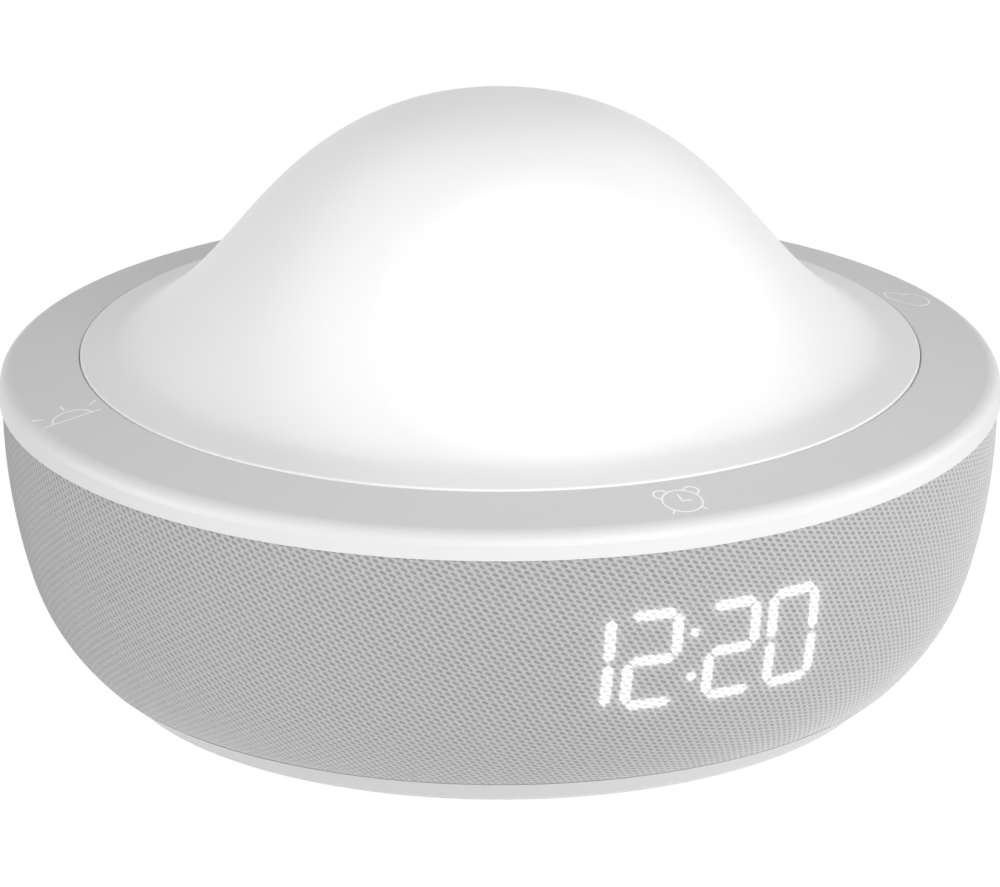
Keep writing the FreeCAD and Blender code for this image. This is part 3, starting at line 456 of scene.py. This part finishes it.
def soft_spot(group, reach, fall, gain):
    """One in the middle of an ellipse, falling softly to nothing outside it."""
    inside = maths(group, "SUBTRACT", 1.0, maths(group, "MULTIPLY", reach, fall), clamp=True)
    return maths(group, "SMOOTH_MIN", maths(group, "MULTIPLY", inside, gain), 1.0, 0.3)


def make_knit_group():
    """Slot = soft ellipse round the nearest point of two square lattices, half a cell apart."""
    group, start, end = new_group(
        "knit", [("Map", "NodeSocketVector", None)],
        [("Slot", "NodeSocketFloat"), ("Height", "NodeSocketFloat"), ("Tone and highlight", "NodeSocketFloat")])
    turned = add_node(group, "ShaderNodeMapping", Vector=start.outputs["Map"], Rotation=(0, 0, SLANT),
                      Scale=(1 / SLOT_PITCH, 1 / SLOT_PITCH, 1))
    wobble = add_node(group, "ShaderNodeTexNoise", Vector=turned.outputs[0], Scale=1.3, Detail=1.0)
    shift = add_node(group, "ShaderNodeVectorMath", {"operation": "SUBTRACT"}, _0=wobble.outputs["Color"],
                     _1=(0.5, 0.5, 0.5))
    shift = add_node(group, "ShaderNodeVectorMath", {"operation": "SCALE"}, _0=shift.outputs[0], _3=0.10)
    cloth = add_node(group, "ShaderNodeVectorMath", {"operation": "ADD"}, _0=turned.outputs[0],
                     _1=shift.outputs[0])
    parts = add_node(group, "ShaderNodeSeparateXYZ", Vector=cloth.outputs[0])
    slot = maths(group, "MINIMUM", lattice_reach(group, parts, 0.0, 0.0, SLOT_LONG, SLOT_SHORT),
                 lattice_reach(group, parts, 0.5, 0.5, SLOT_LONG, SLOT_SHORT))
    slot = soft_spot(group, slot, fall=0.62, gain=1.25)
    patchy = add_node(group, "ShaderNodeTexNoise", Vector=turned.outputs[0], Scale=2.6, Detail=1.0).outputs[0]
    strength = maths(group, "ADD", maths(group, "MULTIPLY", patchy, 1.5), 0.15)
    slot = maths(group, "MULTIPLY", slot, strength, clamp=True)
    # Painted highlight: the loops between the slots are made lighter in colour, where light catches the
    # raised thread.
    painted_loop_highlight = maths(group, "MINIMUM", lattice_reach(group, parts, 0.5, 0.0, LOOP_HIGHLIGHT_LONG, LOOP_HIGHLIGHT_SHORT),
                 lattice_reach(group, parts, 0.0, 0.5, LOOP_HIGHLIGHT_LONG, LOOP_HIGHLIGHT_SHORT))
    painted_loop_highlight = soft_spot(group, painted_loop_highlight, fall=0.50, gain=1.0)
    fibre = add_node(group, "ShaderNodeTexNoise", Vector=turned.outputs[0], Scale=8.0, Detail=5.0).outputs[0]
    fibre_tone_and_highlight = maths(group, "ADD", maths(group, "MULTIPLY", fibre, 0.80), 0.56)
    fibre_tone_and_highlight = maths(group, "ADD", fibre_tone_and_highlight, maths(group, "MULTIPLY", painted_loop_highlight, 0.14))
    height = maths(group, "SUBTRACT", maths(group, "MULTIPLY", fibre, 0.25), slot)
    group.links.new(slot, end.inputs["Slot"])
    group.links.new(height, end.inputs["Height"])
    group.links.new(fibre_tone_and_highlight, end.inputs["Tone and highlight"])
    return group


KNIT = make_knit_group()
THREAD_TONE = (0.468, 0.468, 0.468)
SLOT_TONE = (0.25, 0.25, 0.25)


def knit_material():
    """Light threads, darker slots, and the digits' light where the points store it."""
    material, tree, shader = new_material("knit_grey", Roughness=0.9, Sheen_Weight=0.72,
                                          Specular_IOR_Level=0.2)
    cloth_map = add_node(tree, "ShaderNodeUVMap", {"uv_map": "Cloth"}).outputs[0]
    knit = use_group(tree, KNIT, Map=cloth_map)
    tone = add_node(tree, "ShaderNodeMix", {"data_type": "RGBA"}, Factor=knit.outputs["Slot"],
                    _6=(*THREAD_TONE, 1), _7=(*SLOT_TONE, 1))
    tone = add_node(tree, "ShaderNodeVectorMath", {"operation": "SCALE"}, _0=tone.outputs[2],
                    _3=knit.outputs["Tone and highlight"])
    tree.links.new(tone.outputs[0], shader.inputs["Base Color"])
    bump = add_node(tree, "ShaderNodeBump", Strength=0.55, Distance=0.0002, Height=knit.outputs["Height"])
    tree.links.new(bump.outputs[0], shader.inputs["Normal"])
    glow = add_node(tree, "ShaderNodeAttribute", {"attribute_name": "glow"}).outputs["Fac"]
    veil = maths(tree, "SUBTRACT", 1.0, maths(tree, "MULTIPLY", knit.outputs["Slot"], 0.35))
    light = maths(tree, "MULTIPLY", glow, veil)
    colour = add_node(tree, "ShaderNodeVectorMath", {"operation": "SCALE"}, _0=(1.0, 1.0, 1.0), _3=light)
    tree.links.new(colour.outputs[0], shader.inputs["Emission Color"])
    shader.inputs["Emission Strength"].default_value = 1.0
    return material


# %% [markdown]
# ## Building the sleeve
# The points come from the outline carried round the axis. Two maps go with them: one in
# millimetres of cloth for the knit, and one that lays the outside and the inside out as three
# strips each, which gives the knit more room when its finish is painted into an image. The hole
# for the power inlet is opened at the back, and its edge is pushed onto a clean circle that the
# inlet's rim covers.

# %% Points of the sleeve, and its hole
HOLE_INSET = 0.6 * MM


def sleeve_points():
    """The outline carried round the axis: x = r sin(turn), y = -r cos(turn), z as it is."""
    r, z = outline_r[:, None], outline_z[:, None]
    x, y = r * np.sin(angles), -r * np.cos(angles)
    return np.stack([x, y, np.broadcast_to(z, x.shape)], axis=-1)


def open_hole(points, quads):
    """Pushes the points inside the inlet's hole out to its circle, and drops the quads within it."""
    hole_z = (well_low.z + well_high.z) / 2
    hole_r = (well_high.x - well_low.x) / 2 - HOLE_INSET
    away = np.hypot(points[..., 0], points[..., 2] - hole_z)
    inside = (away < hole_r) & (points[..., 1] > 0)
    push = np.where(inside, hole_r / np.maximum(away, 1e-6), 1.0)
    points[..., 0] *= push
    points[..., 2] = hole_z + (points[..., 2] - hole_z) * push
    keep = ~inside.ravel()[quads].all(axis=1)
    return quads[keep][:, ::-1]


# %% Maps of the sleeve
# The strips' sizes and places are shares of a square image. STRIP_SPARE lets a quad run past the
# end of its strip, and CLOSING_LENGTH is the cloth given to the last quads, which close the hem.
STRIPS = 3
STRIP_MARGIN = 0.012
STRIP_SPARE = 1.02
OUTSIDE_SHARE = 0.84
INSIDE_START = 0.85
INSIDE_STEP = 0.05
INSIDE_HEIGHT = 0.04
INSIDE_MARGIN = 0.005
CLOSING_LENGTH = 0.5 * MM


def cloth_lengths(r, z):
    """Length of the outline from its start to each row."""
    return np.concatenate([[0], np.cumsum(np.hypot(np.diff(r), np.diff(z)))])


def corner_places(quads):
    """Row, turn and length along the outline of each quad's corners, unrolled at the seams."""
    rows, columns = len(outline_r), len(angles)
    row, column = quads // columns, quads % columns
    wrapped = (column == 0) & (column.max(axis=1, keepdims=True) == columns - 1)
    turn = np.append(angles, math.pi)[np.where(wrapped, columns, column)]
    across = cloth_lengths(outline_r, outline_z)
    closing = (row == 0) & (row.max(axis=1, keepdims=True) == rows - 1)
    return row, turn, np.where(closing, across[-1] + CLOSING_LENGTH, across[row])


def bake_places(row, turn, length):
    """
    The outside as three wide strips, one above the other, and the inside as three narrow ones.
    u is the way round within the strip, v the strip's foot plus the share of the outline's length.
    """
    across = cloth_lengths(outline_r, outline_z)
    outside_length = across[outside_rows - 1]
    inside_length = across[-1] + CLOSING_LENGTH - outside_length
    around = (turn + math.pi) / (2 * math.pi) * STRIPS
    strip = np.clip(around.min(axis=1).astype(int), 0, STRIPS - 1)[:, None]
    is_outside = (row.max(axis=1) < outside_rows)[:, None]
    high = np.where(is_outside, length / outside_length, 0)
    low = np.where(is_outside, 0, (length - outside_length) / inside_length)
    strip_height = OUTSIDE_SHARE / STRIPS
    v_out = strip * strip_height + STRIP_MARGIN + high * (strip_height - 2 * STRIP_MARGIN)
    v_in = INSIDE_START + strip * INSIDE_STEP + INSIDE_MARGIN + low * INSIDE_HEIGHT
    along = np.clip(around - strip, 0, STRIP_SPARE)
    u = STRIP_MARGIN + along * (1 - 2 * STRIP_MARGIN) / STRIP_SPARE
    return np.stack([u, np.where(is_outside, v_out, v_in)], axis=-1)


def add_map(piece, name, uv):
    """A UV map from an array of quads x 4 corners x 2."""
    layer = piece.data.uv_layers.new(name=name)
    layer.data.foreach_set("uv", uv.astype(np.float32).ravel())


# %% Sleeve mesh


def make_sleeve():
    """The knitted piece, with its map of the cloth, its map of strips and the digits' light."""
    points = sleeve_points()
    quads = open_hole(points, grid_quads(len(outline_r), len(angles)))
    used = np.unique(quads)
    renumber = np.zeros(points[..., 0].size, int)
    renumber[used] = np.arange(len(used))
    kept = points.reshape(-1, 3)[used]
    sleeve = quads_to_object("sleeve_knit", kept, renumber[quads], knit_material())
    row, turn, length = corner_places(quads)
    add_map(sleeve, "Cloth", np.stack([turn * BOWL_R / MM, length / MM], axis=-1))
    add_map(sleeve, "OFBake", bake_places(row, turn, length))
    glow = glow_of(display_distance(kept[:, 0], kept[:, 2])) * (kept[:, 1] < 0)
    layer = sleeve.data.attributes.new("glow", "FLOAT", "POINT")
    layer.data.foreach_set("value", glow.astype(np.float32))
    return sleeve


sleeve = make_sleeve()
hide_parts("fabric_sleeve")
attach(sleeve, "body")

# %% [markdown]
# ## The glowing dome
# The dome is opal plastic, lit from inside. Opal scatters the light, so no lamp shows through.
# The glow here isn't worked out from those lamps. It is set to look as in the photograph, with
# two falloffs that add up: a colour ramp over the distance from the axis, which is the dome's own
# glow, and one over the distance from a place in front, which is painted light that makes the
# front, where the studio lamps fall, the brightest part. Both are fixed to the dome and don't
# follow the camera.

# %% Opal finish
# Place and reach of the painted light that brightens the dome's front, where the studio lamps fall.
PAINTED_LIGHT_PLACE = (-9 * MM, -47 * MM, 82 * MM)
PAINTED_LIGHT_REACH = 59 * MM


def opal_material():
    """White satin shell whose emission is its own glow, a ramp from the axis, plus painted light, a ramp
    round a place in front.
    """
    material, tree, shader = new_material("dome_opal", Specular_IOR_Level=0.4)
    group = use_group(tree, MOULDED, Tone=(0.70, 0.70, 0.70, 1), Drift=0.01, Roughness=0.42, Spread=0.04,
                      Grain_per_metre=2500.0, Depth=0.03)
    tree.links.new(group.outputs["Color"], shader.inputs["Base Color"])
    tree.links.new(group.outputs["Roughness"], shader.inputs["Roughness"])
    tree.links.new(group.outputs["Normal"], shader.inputs["Normal"])
    place = add_node(tree, "ShaderNodeTexCoord").outputs["Object"]
    flat = add_node(tree, "ShaderNodeVectorMath", {"operation": "MULTIPLY"}, _0=place, _1=(1, 1, 0))
    radius = add_node(tree, "ShaderNodeVectorMath", {"operation": "LENGTH"}, _0=flat.outputs[0])
    share = maths(tree, "DIVIDE", radius.outputs["Value"], dome_high.x, clamp=True)
    glow = ramp(tree, share, [(0.0, 0.19), (0.30, 0.17), (0.60, 0.13), (0.80, 0.14), (1.0, 0.10)])
    away = add_node(tree, "ShaderNodeVectorMath", {"operation": "DISTANCE"}, _0=place, _1=PAINTED_LIGHT_PLACE)
    near = maths(tree, "DIVIDE", away.outputs["Value"], PAINTED_LIGHT_REACH, clamp=True)
    # Painted light: this ramp brightens the dome towards the place in front.
    painted_front_light = ramp(tree, near, [(0.0, 0.20), (0.35, 0.19), (0.60, 0.08), (1.0, 0.0)])
    light = add_node(tree, "ShaderNodeVectorMath", {"operation": "ADD"}, _0=glow, _1=painted_front_light)
    tree.links.new(light.outputs[0], shader.inputs["Emission Color"])
    shader.inputs["Emission Strength"].default_value = 1.0
    return material


dress("dome_diffuser", opal_material())

# %% [markdown]
# ## Cover, marks and base
# The touch cover is one white moulding with a fine matt grain: its sloping top and its rounded
# rim look different only because the light falls on them differently. The marks on it are thin
# inlays, paler than the cover, and a faint emission on them is painted light that brightens
# them. The base is the same plastic, a little glossier. Calls of one function make them all.

# %% Outside plastics
dress("touch_cover", moulded("cover_white", 0.71, 0.46, grain=5200.0, depth=0.10, drift=0.015))
# The faint emission of the marks is painted light: they are inlays, not lamps.
mark_pale = moulded("mark_pale", 0.97, 0.5, grain=6000.0, depth=0.05,
                   Emission_Color=(1, 1, 1, 1), Emission_Strength=0.05)
for mark in ("alarm_mark", "sunrise_mark", "heart_mark", "moon_mark"):
    dress(mark, mark_pale)
dress("base_pan", moulded("base_white", 0.72, 0.40, grain=3600.0, depth=0.12))
dress("battery_door", moulded("door_white", 0.72, 0.40, grain=3600.0, depth=0.12))
dress("inlet_well", moulded("well_white", 0.76, 0.42, grain=3600.0, depth=0.12))

# %% [markdown]
# ## What lies inside
# The inner pieces are seen only when the clock is taken apart, but each still gets the finish of
# a likely material: black nylon, silicone, steel, copper, green lacquer on the boards. A table
# from the material's name to its tone, roughness, metal share and grains per metre makes them all.

# %% Inner finishes
INNER_FINISHES = {
    "rubber_dark": ((0.05, 0.05, 0.052), 0.80, 0.0, 2200.0),
    "screw_steel": ((0.62, 0.62, 0.64), 0.34, 1.0, 5000.0),
    "cell_steel": ((0.74, 0.74, 0.75), 0.28, 1.0, 4000.0),
    "holder_black": ((0.045, 0.045, 0.045), 0.55, 0.0, 2600.0),
    "shell_grey": ((0.50, 0.51, 0.52), 0.55, 0.0, 2200.0),
    "board_green": ((0.03, 0.17, 0.08), 0.38, 0.0, 1500.0),
    "foam_black": ((0.04, 0.04, 0.042), 0.95, 0.0, 1800.0),
    "switch_black": ((0.035, 0.035, 0.036), 0.50, 0.0, 3000.0),
    "plunger_white": ((0.72, 0.72, 0.69), 0.45, 0.0, 3000.0),
    "silicone_clear": ((0.70, 0.71, 0.72), 0.40, 0.0, 2400.0),
    "chassis_white": ((0.66, 0.66, 0.66), 0.50, 0.0, 2600.0),
    "light_board_white": ((0.80, 0.80, 0.80), 0.45, 0.0, 1700.0),
    "lamp_yellow": ((0.86, 0.70, 0.22), 0.35, 0.0, 4000.0),
    "tray_white": ((0.86, 0.86, 0.86), 0.25, 0.0, 3000.0),
    "chip_black": ((0.025, 0.025, 0.027), 0.60, 0.0, 4500.0),
    "can_aluminium": ((0.76, 0.76, 0.77), 0.32, 1.0, 3500.0),
    "socket_white": ((0.76, 0.74, 0.66), 0.50, 0.0, 3000.0),
    "housing_white": ((0.72, 0.72, 0.72), 0.45, 0.0, 2600.0),
    "digit_light": ((0.85, 0.85, 0.87), 0.30, 0.0, 3000.0),
    "jack_black": ((0.035, 0.035, 0.036), 0.45, 0.0, 2800.0),
    "pin_brass": ((0.78, 0.60, 0.30), 0.26, 1.0, 4000.0),
    "baffle_black": ((0.05, 0.05, 0.05), 0.60, 0.0, 2400.0),
    "basket_steel": ((0.30, 0.30, 0.31), 0.42, 1.0, 3000.0),
    "magnet_grey": ((0.09, 0.09, 0.095), 0.55, 0.0, 2000.0),
    "cone_paper": ((0.09, 0.09, 0.09), 0.90, 0.0, 1400.0),
    "coil_copper": ((0.72, 0.36, 0.18), 0.35, 1.0, 6000.0),
    "surround_rubber": ((0.035, 0.035, 0.036), 0.65, 0.0, 2200.0),
    "spider_cloth": ((0.48, 0.34, 0.14), 0.92, 0.0, 1600.0),
    "lead_black": ((0.03, 0.03, 0.032), 0.50, 0.0, 2600.0),
}


def dress_inner_pieces():
    """One material for each slot of the record, shared by all its pieces."""
    finishes = {}
    for slot, (tone, roughness, metal, grain) in INNER_FINISHES.items():
        finishes[slot] = moulded(slot, tone, roughness, grain=grain, depth=0.15, Metallic=metal)
    for subpart in frame["record"]["subparts"]:
        if subpart["material_slot"] in finishes:
            dress(subpart["node"], finishes[subpart["material_slot"]])


dress_inner_pieces()

# %% [markdown]
# ## Soft parts that give way
# The silicone buttons under the dome are listed to flatten towards their board when it is pressed.
# The cloth disc that centres the coil is listed to flatten upwards as the cone strokes. That is a
# stand-in, because a real one is dished up or down by the coil. Here each only gets a mesh of its
# own. The foam pads and the gasket are padded pieces.

# %% Soft parts
# Each row has the piece, its joint, the share of its height that is kept, and whether its top
# is what stays in place.
SOFT_PARTS = (("return_pads", "dome_press", 0.66, False), ("speaker_spider", "cone_stroke", 0.40, True))
for node, joint, keep, hangs in SOFT_PARTS:
    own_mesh(frame["nodes"][node])
print("soft parts", len(SOFT_PARTS), "flatten")

# %% [markdown]
# ## Floor, sky and lamps
# The clock stands in a white studio. The floor and the sky are white for the camera and for
# reflections, but the light that reaches the clock is a plain level, so that colours render
# about as they are written. Three wide soft lamps stand low around the clock, so that its sides
# are lit more than its top. From below the floor is clear, so that the underside can be looked at.

# %% Studio
FLOOR_R = 3.0
FLOOR_POINTS = 64
FLOOR_TONE, FLOOR_TONE_SEEN, FLOOR_LIGHT_SEEN = 0.82, 0.14, 0.94
SKY_LEVEL = 0.28
LAMP_AIM = Vector((0, 0, 50 * MM))


def white_for_camera(tree, plain, shown):
    """Shows one shader to camera, glossy and transmission rays, and another to the light."""
    path = add_node(tree, "ShaderNodeLightPath")
    seen = maths(tree, "MAXIMUM", path.outputs["Is Camera Ray"], path.outputs["Is Glossy Ray"])
    seen = maths(tree, "MAXIMUM", seen, path.outputs["Is Transmission Ray"])
    return add_node(tree, "ShaderNodeMixShader", _0=seen, _1=plain, _2=shown).outputs[0]


def make_floor():
    """A wide disc, white for the camera, that still takes a soft shadow and is clear from below."""
    mesh = bpy.data.meshes.new("floor")
    turn = np.linspace(0, 2 * math.pi, FLOOR_POINTS, endpoint=False)
    rim = np.stack([FLOOR_R * np.cos(turn), FLOOR_R * np.sin(turn), np.zeros(FLOOR_POINTS)], axis=-1)
    mesh.from_pydata(rim.tolist(), [], [list(range(FLOOR_POINTS))])
    material = bpy.data.materials.new("floor_white")
    material.use_nodes = True
    tree = material.node_tree
    tree.nodes.clear()
    plain = add_node(tree, "ShaderNodeBsdfDiffuse", Color=(*[FLOOR_TONE] * 3, 1)).outputs[0]
    thin = add_node(tree, "ShaderNodeBsdfDiffuse", Color=(*[FLOOR_TONE_SEEN] * 3, 1)).outputs[0]
    light = add_node(tree, "ShaderNodeEmission", Color=(1, 1, 1, 1), Strength=FLOOR_LIGHT_SEEN).outputs[0]
    shown = add_node(tree, "ShaderNodeAddShader", _0=thin, _1=light).outputs[0]
    top = white_for_camera(tree, plain, shown)
    below = add_node(tree, "ShaderNodeBsdfTransparent").outputs[0]
    is_below = add_node(tree, "ShaderNodeNewGeometry").outputs["Backfacing"]
    surface = add_node(tree, "ShaderNodeMixShader", _0=is_below, _1=top, _2=below).outputs[0]
    end = add_node(tree, "ShaderNodeOutputMaterial")
    tree.links.new(surface, end.inputs["Surface"])
    mesh.materials.append(material)
    floor = bpy.data.objects.new("floor", mesh)
    bpy.context.scene.collection.objects.link(floor)


def make_sky(level):
    """World light of one plain level, white where it is seen."""
    world = bpy.data.worlds.new("studio")
    bpy.context.scene.world = world
    world.use_nodes = True
    tree = world.node_tree
    tree.nodes.clear()
    plain = add_node(tree, "ShaderNodeBackground", Color=(1, 1, 1, 1), Strength=level).outputs[0]
    shown = add_node(tree, "ShaderNodeBackground", Color=(1, 1, 1, 1), Strength=1.0).outputs[0]
    end = add_node(tree, "ShaderNodeOutputWorld")
    tree.links.new(white_for_camera(tree, plain, shown), end.inputs["Surface"])


def add_lamp(name, azimuth, elevation, distance, width, height, watts):
    """A wide soft lamp that looks at the clock's middle."""
    a, e = math.radians(azimuth), math.radians(elevation)
    direction = Vector((math.sin(a) * math.cos(e), -math.cos(a) * math.cos(e), math.sin(e)))
    data = bpy.data.lights.new(name, "AREA")
    data.shape = "RECTANGLE"
    data.size, data.size_y = width, height
    data.energy = watts
    lamp = bpy.data.objects.new(name, data)
    lamp.location = LAMP_AIM + direction * distance
    lamp.rotation_mode = "QUATERNION"
    lamp.rotation_quaternion = (-direction).to_track_quat("-Z", "Y")
    bpy.context.scene.collection.objects.link(lamp)


make_floor()
make_sky(SKY_LEVEL)
add_lamp("key", azimuth=1.0, elevation=19.0, distance=1.6, width=1.4, height=0.8, watts=20.7)
add_lamp("left_fill", azimuth=-100.0, elevation=12.0, distance=1.6, width=1.2, height=0.5, watts=11.0)
add_lamp("right_fill", azimuth=75.0, elevation=12.0, distance=1.6, width=1.2, height=0.5, watts=7.8)
bpy.context.scene.view_settings.view_transform = "Standard"
